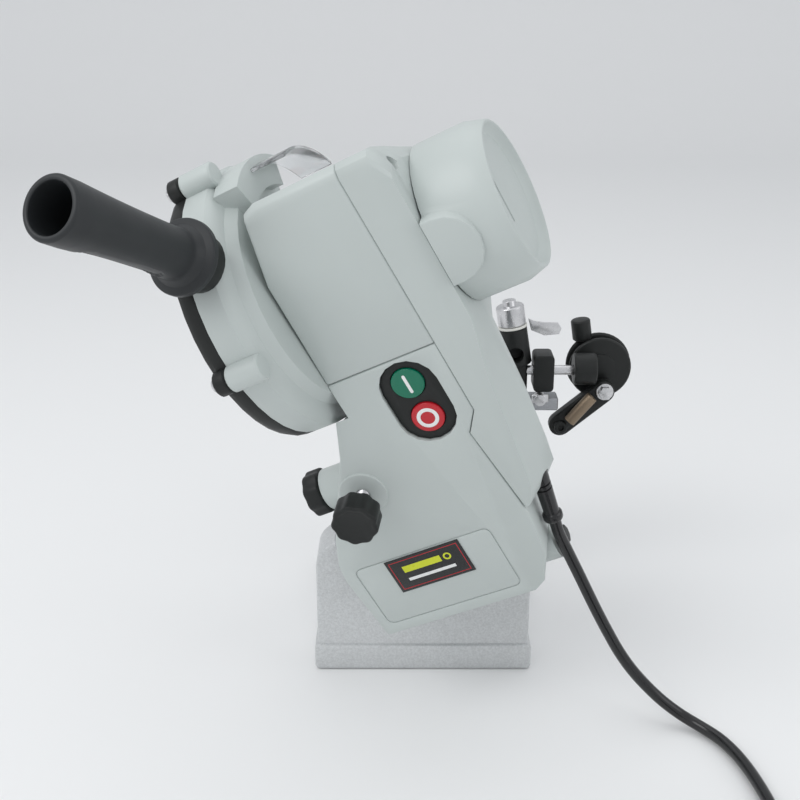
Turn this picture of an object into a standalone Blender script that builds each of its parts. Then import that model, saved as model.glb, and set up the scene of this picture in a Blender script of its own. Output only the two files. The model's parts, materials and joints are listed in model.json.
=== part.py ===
"""Bench grinder for saw chain: a tilting head with a swinging arm, over a chain vise.

Sizes are written in millimetres and scaled to metres when a mesh is made. World +Z is up, the origin is
the centre of the foot's underside, and the vise stands behind the head at +Y.
"""
import bpy
import bmesh
from math import atan2, cos, pi, radians, sin
from mathutils import Matrix, Vector

METRE = 0.001
GAP = 0.3                       # between pieces that touch

# base casting
FOOT = (150.0, 160.0, 19.0)
UPSTAND_FRONT = -77.0
UPSTAND_BACK = -42.0
UPSTAND_TOP = 97.0
POST_CENTRE = (12.0, 60.0)
POST_TOP = 140.0
BOLT_HOLE = 4.5

# head joints
TILT_PIVOT = Vector((12.0, -60.0, 112.0))
TILT_RISE = radians(28.0)       # the tilt axis climbs towards the vise
TILT_REST = radians(-30.0)
SWING_REST = radians(11.0)      # the raised arm leans forwards
HINGE_FROM_PIVOT = Vector((14.0, -51.0, 18.7))
HUMP_RADIUS = 28.0
TILT_SHAFT = 8.0
HINGE_PIN = 6.0

# arm, in the hinge's frame: x along the spindle, z up the arm, front face at -y
FRONT = -38.0
BACK = 14.0
WALL = 3.0
SEAM_Z = 130.0
ARM_TOP = 240.0
SEAM_X = 77.0
SHELL_RIGHT = 103.0
SHOULDER_Z = 197.0              # above this the housing's top slopes down towards the back
TOP_PROFILE = [(-38.0, 234.0), (-36.2, 238.2), (-32.0, 240.5), (-26.0, 239.0), (32.0, 214.0), (46.0, 200.0)]
TOP_AT_MIDDLE = 233.0           # at y = -12
TOP_AT_BACK = 221.5             # at y = BACK
AXLE_Y = 8.0
AXLE_Z = 173.0

# motor, wheel and guard
MOTOR_RADIUS = 46.0
MOTOR_END = 144.0
WHEEL_RADIUS = 72.5
WHEEL_X = -12.0
WHEEL_THICK = 4.5
GUARD_RADIUS = 80.0
GUARD_SEAM = -19.0
GUARD_OUTER = -32.0
GUARD_INNER = 8.0
GUARD_STEP = 16.0               # a raised band on the inner side ends here
SHIELD_RADIUS = 74.0
SHIELD_FROM = 36.0              # degrees from +y
SHIELD_TO = 88.0
GUARD_OPEN = (-76.0, 48.0)      # degrees from +y, where the wheel is bare

# switch, label, knobs
SWITCH_CENTRE = (50.3, 100.2)
SWITCH_HALF = 17.0
SWITCH_REACH = 10.2
SWITCH_DEEP = 2.0               # how far its face lies behind the cover's
BUTTON_RADIUS = 9.6
BUTTON_Z = {"green": 112.6, "red": 88.4}
LABEL_HALF = (25.5, 12.7)
LABEL_Z = -8.0
STUD_PLACE = (-10.6, 56.0)
DEPTH_KNOB = (-8.0, -38.0)

# handle
HANDLE_FOOT = Vector((-9.0, -60.0, 237.0))
HANDLE_RISE = radians(42.0)
HANDLE_LENGTH = 102.0

# vise
VISE_X, VISE_Y = POST_CENTRE
ROD_Z = 174.0

# mains lead
LEAD_ROOT = Vector((86.0, -18.0, 26.0))
LEAD_END = Vector((78.0, -18.0, -17.0))
CORD_RADIUS = 3.75
CORD_ROUTE = [
    (77.4, -146.0, 147.0), (80.4, -144.4, 138.0), (84.6, -142.4, 128.5), (89.6, -140.8, 118.0),
              (95.4, -139.9, 106.0),
    (101.6, -139.5, 93.0), (108.2, -139.3, 79.5), (115.2, -139.3, 66.0), (123.0, -139.6, 52.0),
              (131.8, -140.0, 39.0),
    (142.0, -140.6, 27.0), (153.6, -142.4, 16.0), (165.6, -146.4, 8.2), (176.4, -153.6, 4.6),
              (185.0, -164.6, 4.0),
    (191.0, -178.6, 4.0), (195.0, -194.6, 4.0), (197.6, -212.0, 4.0), (199.2, -231.0, 4.0),
              (200.0, -252.0, 4.0),
    (200.0, -279.0, 4.0),
]
COIL_CENTRE = (156.0, -315.0)
COIL_RADIUS = 44.0              # to the middle of the turns
COIL_HALF_WIDTH = 8.0
COIL_HEIGHT = 23.5

for old in list(bpy.data.objects):
    bpy.data.objects.remove(old, do_unlink=True)

root_collection = bpy.context.scene.collection
materials = {}


def material(name, colour, rough, metal=0.0, alpha=1.0):
    if name not in materials:
        made = bpy.data.materials.new(name)
        made.use_nodes = True
        shader = made.node_tree.nodes["Principled BSDF"]
        shader.inputs["Base Color"].default_value = (*colour, 1.0)
        shader.inputs["Roughness"].default_value = rough
        shader.inputs["Metallic"].default_value = metal
        shader.inputs["Alpha"].default_value = alpha
        materials[name] = made
    return materials[name]


HOUSING = ("housing_grey", (0.60, 0.64, 0.62), 0.45)
BLACK = ("black_plastic", (0.03, 0.03, 0.032), 0.45)
CAST = ("cast_aluminium", (0.62, 0.62, 0.62), 0.42, 0.85)
ZINC = ("zinc_plated", (0.70, 0.69, 0.65), 0.28, 1.0)
STEEL = ("steel", (0.55, 0.55, 0.56), 0.35, 1.0)
STONE = ("grinding_stone", (0.72, 0.40, 0.33), 0.95)
CLEAR = ("clear_plastic", (0.92, 0.95, 0.95), 0.08, 0.0, 0.3)
BRONZE = ("bronze", (0.28, 0.20, 0.14), 0.5, 0.6)
GREEN = ("green_button", (0.01, 0.22, 0.12), 0.35)
RED = ("red_button", (0.55, 0.02, 0.03), 0.35)
CORD_BLACK = ("cord_black", (0.02, 0.02, 0.02), 0.35)
COPPER = ("winding", (0.45, 0.2, 0.08), 0.5, 0.6)
NYLON = ("white_nylon", (0.85, 0.85, 0.82), 0.4)


# ---------------------------------------------------------------- mesh helpers, all in millimetres
def axis_turn(direction):
    """Rotation that takes +Z onto a direction."""
    return Vector((0, 0, 1)).rotation_difference(Vector(direction)).to_matrix().to_4x4()


def prism(outline, axis, low, high, bevel=0.0, segments=2, top_only=None):
    """A closed outline of (u, v) points extruded along x, y or z."""
    bm = bmesh.new()
    spot = {"x": lambda u, v, w: (w, u, v), "y": lambda u, v, w: (u, w, v), "z": lambda u, v,
            w: (u, v, w)}[axis]
    ends = []
    for level in (low, high):
        ends.append([bm.verts.new(spot(u, v, level)) for u, v in outline])
    bm.faces.new(ends[0])
    bm.faces.new(list(reversed(ends[1])))
    count = len(outline)
    for i in range(count):
        j = (i + 1) % count
        bm.faces.new((ends[0][j], ends[0][i], ends[1][i], ends[1][j]))
    bmesh.ops.recalc_face_normals(bm, faces=bm.faces)
    if bevel > 0:
        edges = list(bm.edges)
        if top_only is not None:
            slot = {"x": 0, "y": 1, "z": 2}[axis]
            edges = [e for e in edges if all(abs(v.co[slot] - top_only) < 1e-6 for v in e.verts)]
        bmesh.ops.bevel(bm, geom=edges, offset=bevel, offset_type="OFFSET", segments=segments, profile=0.5,
                        affect="EDGES", clamp_overlap=True, material=-1)
    return bm


def block(low, high, bevel=0.0, segments=2):
    outline = [(low[0], low[1]), (high[0], low[1]), (high[0], high[1]), (low[0], high[1])]
    return prism(outline, "z", low[2], high[2], bevel, segments)


def turned(profile, place=(0, 0, 0), direction=(1, 0, 0), steps=32):
    """A closed profile of (radius, height) points, turned about the direction through the place."""
    bm = bmesh.new()
    rings = []
    for radius, height in profile:
        if radius < 1e-6:
            rings.append([bm.verts.new((0, 0, height))])
        else:
            rings.append([bm.verts.new((radius * cos(2 * pi * k / steps), radius * sin(2 * pi * k / steps),
                                        height))
                          for k in range(steps)])
    open_profile = len(rings[0]) == 1 and len(rings[-1]) == 1
    pairs = list(zip(rings, rings[1:])) + ([] if open_profile else [(rings[-1], rings[0])])
    for first, second in pairs:
        for k in range(steps):
            m = (k + 1) % steps
            if len(first) == 1 and len(second) > 1:
                bm.faces.new((first[0], second[k], second[m]))
            elif len(second) == 1 and len(first) > 1:
                bm.faces.new((first[k], second[0], first[m]))
            elif len(first) > 1:
                bm.faces.new((first[k], second[k], second[m], first[m]))
    bmesh.ops.recalc_face_normals(bm, faces=bm.faces)
    bmesh.ops.transform(bm, matrix=Matrix.Translation(place) @ axis_turn(direction), verts=bm.verts)
    return bm


def rod(radius, start, end, steps=24, chamfer=0.0):
    start, end = Vector(start), Vector(end)
    length = (end - start).length
    c = chamfer
    if c > 0:
        profile = [(0, 0), (radius - c, 0), (radius, c), (radius, length - c), (radius - c, length),
                   (0, length)]
    else:
        profile = [(0, 0), (radius, 0), (radius, length), (0, length)]
    return turned(profile, start, end - start, steps)


def tube(outer, inner, start, end, steps=32):
    start, end = Vector(start), Vector(end)
    length = (end - start).length
    return turned([(inner, 0), (outer, 0), (outer, length), (inner, length)], start, end - start, steps)


def stadium(centre, half_width, reach, steps=8):
    """Points round a slot shape: two half circles, reach apart from the centre, along v."""
    points = []
    for side, start in ((1, 0.0), (-1, pi)):
        for k in range(steps + 1):
            angle = start + pi * k / steps
            points.append((centre[0] + half_width * cos(angle),
                           centre[1] + side * reach + half_width * sin(angle)))
    return points


def rounded(low, high, radius, steps=4):
    """A rectangle of (u, v) points with round corners."""
    points = []
    corners = [(high[0] - radius, high[1] - radius, 0), (low[0] + radius, high[1] - radius, 90),
               (low[0] + radius, low[1] + radius, 180), (high[0] - radius, low[1] + radius, 270)]
    for u, v, start in corners:
        for k in range(steps + 1):
            angle = radians(start + 90 * k / steps)
            points.append((u + radius * cos(angle), v + radius * sin(angle)))
    return points


def inset(outline, amount):
    """A closed, counter-clockwise outline moved inwards by a wall's thickness."""
    count = len(outline)
    moved = []
    for i in range(count):
        before, here, after = (Vector(outline[(i + d) % count]) for d in (-1, 0, 1))
        first = (here - before).normalized()
        second = (after - here).normalized()
        left_first = Vector((-first.y, first.x))
        left_second = Vector((-second.y, second.x))
        mid = (left_first + left_second).normalized()
        moved.append(tuple(here + mid * (amount / max(0.35, mid.dot(left_first)))))
    return moved


def to_mesh(bm, name):
    mesh = bpy.data.meshes.new(name)
    bm.to_mesh(mesh)
    bm.free()
    return mesh


def combine(first, others, operation):
    """Boolean of one bmesh with others, in order; returns a bmesh."""
    body = bpy.data.objects.new("work", to_mesh(first, "work"))
    root_collection.objects.link(body)
    for other in others:
        tool = bpy.data.objects.new("tool", to_mesh(other, "tool"))
        root_collection.objects.link(tool)
        change = body.modifiers.new("change", "BOOLEAN")
        change.operation = operation
        change.solver = "EXACT"
        change.object = tool
        graph = bpy.context.evaluated_depsgraph_get()
        mesh = bpy.data.meshes.new_from_object(body.evaluated_get(graph))
        body.modifiers.clear()
        body.data = mesh
        bpy.data.objects.remove(tool, do_unlink=True)
    result = bmesh.new()
    result.from_mesh(body.data)
    bpy.data.objects.remove(body, do_unlink=True)
    bmesh.ops.remove_doubles(result, verts=result.verts, dist=0.002)
    bmesh.ops.dissolve_degenerate(result, edges=result.edges, dist=0.001)
    return result


def union(first, *others):
    return combine(first, others, "UNION")


def cut(first, *others):
    return combine(first, others, "DIFFERENCE")


def frame_empty(name, matrix, parent=None):
    """An empty whose origin is on a joint's axis; the matrix is in millimetres, in the parent's frame."""
    empty = bpy.data.objects.new(name, None)
    root_collection.objects.link(empty)
    local = matrix.copy()
    local.translation = local.translation * METRE
    empty.parent = parent
    empty.matrix_local = local
    return empty


def piece(name, bm, finish, parent, offset=(0, 0, 0)):
    """One sub-part: its mesh in the parent's frame, less the offset where its own joint's axis lies."""
    bmesh.ops.translate(bm, verts=bm.verts, vec=-Vector(offset))
    bmesh.ops.scale(bm, verts=bm.verts, vec=(METRE, METRE, METRE))
    bmesh.ops.recalc_face_normals(bm, faces=bm.faces)
    obj = bpy.data.objects.new(name, to_mesh(bm, name))
    root_collection.objects.link(obj)
    obj.parent = parent
    obj.location = Vector(offset) * METRE
    obj.data.materials.append(material(*finish))
    obj.data.shade_smooth()
    obj.data.set_sharp_from_angle(angle=radians(32))
    return obj


def matrix_at(place, turn=None):
    return Matrix.Translation(place) @ (turn.to_4x4() if turn is not None else Matrix.Identity(4))


# ---------------------------------------------------------------- frames
tilt_axis = Vector((0, cos(TILT_RISE), sin(TILT_RISE)))
tilt_frame = frame_empty("tilt_axis", matrix_at(TILT_PIVOT, Matrix.Rotation(TILT_REST, 3, tilt_axis)))
hinge_frame = frame_empty("arm_hinge", matrix_at(HINGE_FROM_PIVOT, Matrix.Rotation(SWING_REST, 3, "X")),
                          tilt_frame)
spindle_frame = frame_empty("spindle_axis", matrix_at((0, AXLE_Y, AXLE_Z)), hinge_frame)
vise_frame = frame_empty("vise_turn", matrix_at((VISE_X, VISE_Y, 0)))


# ---------------------------------------------------------------- base
def make_base():
    wide, deep, thick = FOOT
    foot = block((-wide / 2, -deep / 2, 0), (wide / 2, deep / 2, thick), 2.5, 2)
    half = wide / 2 - 2
    front = [(-half, 12), (half, 12)] + [p for p in rounded((-half, 0), (half, UPSTAND_TOP), 18,
                                                            5) if p[1] > 50]
    upstand = prism(front, "y", UPSTAND_FRONT, UPSTAND_BACK, 2.0, 2)
    saddle = block((-50, -95, 80), (62, -56, 150))
    upstand = cut(upstand, saddle)
    hump = rod(HUMP_RADIUS, TILT_PIVOT - tilt_axis * 4, TILT_PIVOT + tilt_axis * 24, 32, 1.5)
    neck = block((-14, -64, 60), (38, -44, 112), 1.0, 1)
    web = block((4, -50, 15), (20, 50, 70), 1.5, 1)
    post = prism([(-22, 42), (46, 42), (46, 78), (-22, 78)], "z", 15, POST_TOP, 4.0, 2)
    bore = rod(TILT_SHAFT + 0.3, TILT_PIVOT - tilt_axis * 40, TILT_PIVOT + tilt_axis * 40, 20)
    pivot_bore = rod(5.08, (VISE_X, VISE_Y, POST_TOP - 22), (VISE_X, VISE_Y, POST_TOP + 10), 24)
    holes = [rod(BOLT_HOLE, (x, y, -5), (x, y, thick + 5), 16) for x in (-60, 60) for y in (-20, 62)]
    yoke_room = rod(40, TILT_PIVOT - tilt_axis * 70, TILT_PIVOT - tilt_axis * 4, 32)
    shape = union(foot, upstand, neck, hump, web, post)
    piece("base", cut(shape, yoke_room, bore, pivot_bore, *holes), CAST, None)


def make_tilt_group():
    """Yoke, its shaft through the base, and the hinge pin; in the tilt frame."""
    hinge = HINGE_FROM_PIVOT
    left = hinge.x - 65.0
    right = hinge.x + 66.0
    plate_y = hinge.y + 24
    disc = rod(27, -tilt_axis * 4.3, -tilt_axis * 12, 28, 0.8)
    shape = block((left, plate_y, hinge.z - 16), (right, plate_y + 7, hinge.z + 1.5), 1.0, 1)
    bridge = rod(20, -tilt_axis * 10, -tilt_axis * 23, 20)
    parts = [disc, bridge]
    for x0 in (left, right - 7):
        ear = rod(12, (x0, hinge.y, hinge.z), (x0 + 7, hinge.y, hinge.z), 20)
        side = Vector((0.96, -0.28))
        across = Vector((0.28, 0.96)) * 7
        ends = [Vector((hinge.y, hinge.z)), Vector((hinge.y, hinge.z)) + side * 26]
        strap = prism([tuple(ends[0] + across), tuple(ends[0] - across), tuple(ends[1] - across),
                       tuple(ends[1] + across)], "x", x0, x0 + 7)
        parts += [ear, strap]
    shape = union(shape, *parts)
    bore = rod(TILT_SHAFT + 0.3, -tilt_axis * 40, tilt_axis * 10, 20)
    pin_hole = rod(HINGE_PIN + 0.3, (left + 2, hinge.y, hinge.z), (right + 5, hinge.y, hinge.z), 16)
    head_room = rod(12.5, -tilt_axis * 40, -tilt_axis * 15, 28)
    piece("tilt_yoke", cut(shape, bore, head_room, pin_hole), CAST, tilt_frame)

    shaft = turned([(0, -16), (TILT_SHAFT, -16), (TILT_SHAFT, 36), (TILT_SHAFT - 1, 37), (0, 37)], (0, 0, 0),
                   tilt_axis, 20)
    piece("tilt_shaft", union(shaft, rod(11.5, -tilt_axis * 21, -tilt_axis * 15.3, 6)), STEEL, tilt_frame)
    nut = cut(rod(15, tilt_axis * 24.3, tilt_axis * 35, 6),
              rod(TILT_SHAFT + 0.3, tilt_axis * 20, tilt_axis * 40, 20))
    piece("tilt_nut", nut, ZINC, tilt_frame)
    pin = rod(HINGE_PIN, (left + 2.3, hinge.y, hinge.z), (right + 1, hinge.y, hinge.z), 24, 0.6)
    piece("hinge_pin", pin, STEEL, tilt_frame)


# ---------------------------------------------------------------- arm
def cover_outline():
    """Front view of the lower cover, counter-clockwise, as (x, z)."""
    return [(-53, -50), (52, -50), (60, -45), (70, -26), (73.5, 6), (67.5, 70), (76.7, 83),
            (76.7, SEAM_Z - 0.3),
            (8, SEAM_Z - 0.3), (3, 114), (-12, 82), (-28, 58), (-46, 30), (-54, 12), (-56, 0)]


def make_lower_cover():
    outline = cover_outline()
    body = prism(outline, "y", FRONT, BACK, 1.6, 2, top_only=FRONT)
    boss = rod(13.5, (-52, 4, 43), (-20, 4, 43), 28)
    y, z = DEPTH_KNOB
    plate = rod(13, (56, y, z), (70.5, y, z), 26)
    x, v = STUD_PLACE
    pad = rod(15, (x, FRONT - 1.3, v), (x, FRONT + 2, v), 36, 0.6)
    body = union(body, boss, plate, pad)
    hollow = prism(inset(outline, WALL), "y", FRONT + WALL, BACK + 10)
    panel = cut(prism(rounded((-47, -42), (47, 6), 5), "y", FRONT - 5, FRONT + 0.7),
                prism(rounded((-46.1, -41.1), (46.1, 5.1), 4.1), "y", FRONT - 6, FRONT + 2))
    switch = prism(stadium(SWITCH_CENTRE, SWITCH_HALF + GAP, SWITCH_REACH), "y", FRONT - 5, FRONT + 10)
    stud = rod(4.3, (STUD_PLACE[0], FRONT - 5, STUD_PLACE[1]), (STUD_PLACE[0], FRONT + 10, STUD_PLACE[1]), 20)
    pin = rod(HINGE_PIN + 2.5, (-70, 0, 0), (0, 0, 0), 24)
    side_bore = rod(4.0, (-60, 4, 43), (-15, 4, 43), 20)
    knob_bore = rod(3.4, (64, y, z), (80, y, z), 14)
    guard_room = rod(GUARD_RADIUS + 1, (-70, AXLE_Y, AXLE_Z), (GUARD_INNER + GAP, AXLE_Y, AXLE_Z), 40)
    body = cut(body, knob_bore, hollow, panel, switch, stud, pin, side_bore, guard_room)
    piece("lower_cover", body, HOUSING, hinge_frame)


def make_arm_frame():
    """Metal barrel round the hinge pin, with the plate that carries the motor housing."""
    barrel = rod(13, (-48, 0, 0), (58, 0, 0), 32)
    arm = block((14, -6, 8), (52, 5, 124), 1.0, 1)
    shape = union(barrel, arm)
    bore = rod(HINGE_PIN + 0.06, (-60, 0, 0), (70, 0, 0), 24)
    piece("arm_frame", cut(shape, bore), CAST, hinge_frame)
    points = []
    turns, per_turn = 4, 10
    for k in range(turns * per_turn + 1):
        angle = 2 * pi * k / per_turn
        points.append((-46 + 4.0 * k / per_turn, 16.2 * cos(angle), 16.2 * sin(angle)))
    piece("return_spring", sweep(points, 1.3, 5), STEEL, hinge_frame)


def sweep(points, radius, sides):
    """A round wire along a list of points."""
    bm = bmesh.new()
    rings = []
    places = [Vector(p) for p in points]
    normal = None
    for i, here in enumerate(places):
        ahead = (places[min(i + 1, len(places) - 1)] - places[max(i - 1, 0)]).normalized()
        if normal is None:
            normal = ahead.orthogonal().normalized()
        normal = (normal - ahead * normal.dot(ahead)).normalized()
        side = ahead.cross(normal)
        turns = [2 * pi * k / sides for k in range(sides)]
        rings.append([bm.verts.new(here + radius * (normal * cos(turn) + side * sin(turn)))
                      for turn in turns])
    for first, second in zip(rings, rings[1:]):
        for k in range(sides):
            m = (k + 1) % sides
            bm.faces.new((first[k], first[m], second[m], second[k]))
    bm.faces.new(list(reversed(rings[0])))
    bm.faces.new(rings[-1])
    bmesh.ops.recalc_face_normals(bm, faces=bm.faces)
    return bm


def sloped(outline, top):
    """Squeezes an outline's part above the shoulder so that its highest point is at top."""
    part = (top - SHOULDER_Z) / (ARM_TOP - SHOULDER_Z)
    return [(x, SHOULDER_Z + (z - SHOULDER_Z) * part if z > SHOULDER_Z else z) for x, z in outline]


def between(first, second, part):
    return [(a[0] + (b[0] - a[0]) * part, a[1] + (b[1] - a[1]) * part) for a, b in zip(first, second)]


def loft(levels):
    """A closed solid through outlines of (x, z) points, each at its own y."""
    bm = bmesh.new()
    rings = [[bm.verts.new((x, y, z)) for x, z in outline] for y, outline in levels]
    for first, second in zip(rings, rings[1:]):
        for i in range(len(first)):
            j = (i + 1) % len(first)
            bm.faces.new((first[i], first[j], second[j], second[i]))
    bm.faces.new(rings[0])
    bm.faces.new(list(reversed(rings[-1])))
    bmesh.ops.triangulate(bm, faces=[f for f in bm.faces if len(f.verts) == 4])
    bmesh.ops.recalc_face_normals(bm, faces=bm.faces)
    return bm


def make_housing():
    """Upper housing between guard and seam, and the right shell that the motor can joins."""
    edge = SEAM_X - GAP
    front = [(28, ARM_TOP), (19, ARM_TOP - 3), (10, SHOULDER_Z), (9, 160), (8, SEAM_Z), (edge, SEAM_Z),
             (edge, ARM_TOP)]
    back = [(12, ARM_TOP), (9, ARM_TOP - 8), (9, SHOULDER_Z), (9, 160), (8.5, SEAM_Z), (edge, SEAM_Z),
            (edge, ARM_TOP)]
    levels = []
    for y, top in TOP_PROFILE:
        levels.append((y, sloped(between(front, back, min(1.0, (y - FRONT) / 62)), top)))
    room = rod(34, (22, AXLE_Y, AXLE_Z), (SEAM_X + 5, AXLE_Y, AXLE_Z), 40)
    shaft = rod(11.0, (0, AXLE_Y, AXLE_Z), (30, AXLE_Y, AXLE_Z), 28)
    piece("upper_housing", cut(loft(levels), room, shaft), HOUSING, hinge_frame)

    inner = [(SEAM_X, ARM_TOP), (SEAM_X, 83), (67.9, 70)]
    front = [(74, 10), (78, 12), (83, 22), (89, 62), (94, 100), (SHELL_RIGHT - 1, 135),
             (SHELL_RIGHT - 1, 226), (SHELL_RIGHT - 8, ARM_TOP)] + inner
    side = [(74, 10), (86, 10), (94.5, 19), (100, 60), (101, 104), (SHELL_RIGHT, 135),
            (SHELL_RIGHT, 228), (SHELL_RIGHT - 6, ARM_TOP)] + inner
    back = [(74, 10), (82, 11), (88.5, 19), (93, 60), (96, 108), (SHELL_RIGHT, 133),
            (SHELL_RIGHT, 228), (SHELL_RIGHT - 6, ARM_TOP)] + inner
    rear = [(74, 10), (77, 11), (82, 19), (86, 60), (89.5, 108), (SHELL_RIGHT, 131),
            (SHELL_RIGHT, 228), (SHELL_RIGHT - 6, ARM_TOP)] + inner
    levels = []
    for y, top in TOP_PROFILE[:4]:
        levels.append((y, sloped(between(front, side, min(1.0, (y - FRONT) / 26)), top)))
    levels.append((-12, sloped(side, TOP_AT_MIDDLE)))
    levels.append((BACK, sloped(back, TOP_AT_BACK)))
    levels.append((TOP_PROFILE[4][0], sloped(rear, TOP_PROFILE[4][1])))
    hollow = prism([(80, 60), (82, 46), (86, 52), (88, 80), (88, 150), (80, 150)], "y", FRONT + 14, BACK - 4)
    motor = rod(36, (60, AXLE_Y, AXLE_Z), (130, AXLE_Y, AXLE_Z), 40)
    lead = rod(5.6, LEAD_ROOT + (LEAD_ROOT - LEAD_END) * 0.1, LEAD_END, 20)
    screw_hole = rod(4.2, (SHELL_RIGHT - 16, FRONT + 14, 226), (SHELL_RIGHT + 6, FRONT + 14, 226), 20)
    piece("right_shell", cut(loft(levels), hollow, motor, lead, screw_hole), HOUSING, hinge_frame)


def make_motor():
    start = SHELL_RIGHT + GAP
    end = MOTOR_END - start
    r = MOTOR_RADIUS
    can = turned([(r - 4, 0), (r, 0), (r, end - 12), (r - 3.5, end - 0.6), (r - 4.2, end), (r - 5.2, end),
                  (r - 6.2, end - 2), (r - 10, end - 5), (0, end - 5), (0, end - 8), (r - 5, end - 8)],
                 (start, AXLE_Y, AXLE_Z), (1, 0, 0), 40)
    pad = prism(rounded((start - 30, AXLE_Z - 16), (start + 25, AXLE_Z + 23), 19), "y", AXLE_Y - 49,
                AXLE_Y - 25, 1.2, 2, top_only=AXLE_Y - 49)
    shell_side = block((start - 40, AXLE_Y - 60, AXLE_Z - 30), (start, AXLE_Y - 10, AXLE_Z + 40))
    inside = rod(r - 5, (start - 1, AXLE_Y, AXLE_Z), (MOTOR_END - 8.5, AXLE_Y, AXLE_Z), 40)
    slot = block((MOTOR_END - 6, AXLE_Y - 16, AXLE_Z - 9), (MOTOR_END - 3, AXLE_Y - 13.5, AXLE_Z + 19))
    flat = block((start - 1, AXLE_Y - 40, AXLE_Z - r - 5), (MOTOR_END + 5, AXLE_Y + 40, AXLE_Z - r + 2.2))
    piece("motor_can", cut(union(can, pad), inside, slot, flat, shell_side), HOUSING, hinge_frame)
    stator = tube(33.5, 22, (66, AXLE_Y, AXLE_Z), (MOTOR_END - 23, AXLE_Y, AXLE_Z), 40)
    piece("stator", stator, COPPER, hinge_frame)
    piece("front_bearing", tube(10.9, 5.2, (9.5, AXLE_Y, AXLE_Z), (19, AXLE_Y, AXLE_Z), 28), STEEL,
          hinge_frame)
    piece("rear_bearing", tube(11, 5.2, (MOTOR_END - 18, AXLE_Y, AXLE_Z), (MOTOR_END - 9, AXLE_Y, AXLE_Z),
                               28), STEEL, hinge_frame)


# ---------------------------------------------------------------- spindle group, in the spindle's own frame
def make_spindle():
    tip = MOTOR_END - 9.2
    shaft = turned([(0, -27), (4.2, -27), (5, -26), (5, tip), (0, tip)], (0, 0, 0), (1, 0, 0), 28)
    piece("spindle", shaft, STEEL, spindle_frame)
    half = WHEEL_THICK / 2
    edge = WHEEL_RADIUS
    wheel = turned([(5.3, WHEEL_X - half), (edge - 1.5, WHEEL_X - half), (edge, WHEEL_X),
                    (edge - 1.5, WHEEL_X + half),
                    (5.3, WHEEL_X + half)], (0, 0, 0), (1, 0, 0), 48)
    piece("grinding_wheel", wheel, STONE, spindle_frame)
    inner = turned([(5.3, WHEEL_X + half + GAP), (20, WHEEL_X + half + GAP), (20, WHEEL_X + half + 3),
                    (11, WHEEL_X + half + 5), (8, 3.5), (5.3, 3.5)], (0, 0, 0), (1, 0, 0), 36)
    piece("inner_flange", inner, STEEL, spindle_frame)
    outer = turned([(5.3, WHEEL_X - half - 4), (18, WHEEL_X - half - 4), (20, WHEEL_X - half - 2.5),
                    (20, WHEEL_X - half - GAP), (5.3, WHEEL_X - half - GAP)], (0, 0, 0), (1, 0, 0), 36)
    piece("outer_flange", outer, STEEL, spindle_frame)
    nut = cut(rod(9.5, (-25.5, 0, 0), (-18.6, 0, 0), 6), rod(5.3, (-30, 0, 0), (-10, 0, 0), 24))
    piece("wheel_nut", nut, ZINC, spindle_frame)
    piece("rotor", tube(21, 5.3, (68, 0, 0), (124, 0, 0), 40), STEEL, spindle_frame)


# ---------------------------------------------------------------- guard
def sector(start, end, inner, outer, low, high):
    """A wedge about the spindle between two angles, as a prism along x."""
    points = []
    steps = 8
    for k in range(steps + 1):
        angle = radians(start + (end - start) * k / steps)
        points.append((AXLE_Y + outer * cos(angle), AXLE_Z + outer * sin(angle)))
    for k in range(steps, -1, -1):
        angle = radians(start + (end - start) * k / steps)
        points.append((AXLE_Y + inner * cos(angle), AXLE_Z + inner * sin(angle)))
    return prism(points, "x", low, high)


def boss_place(angle, radius):
    return AXLE_Y + radius * cos(radians(angle)), AXLE_Z + radius * sin(radians(angle))


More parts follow.
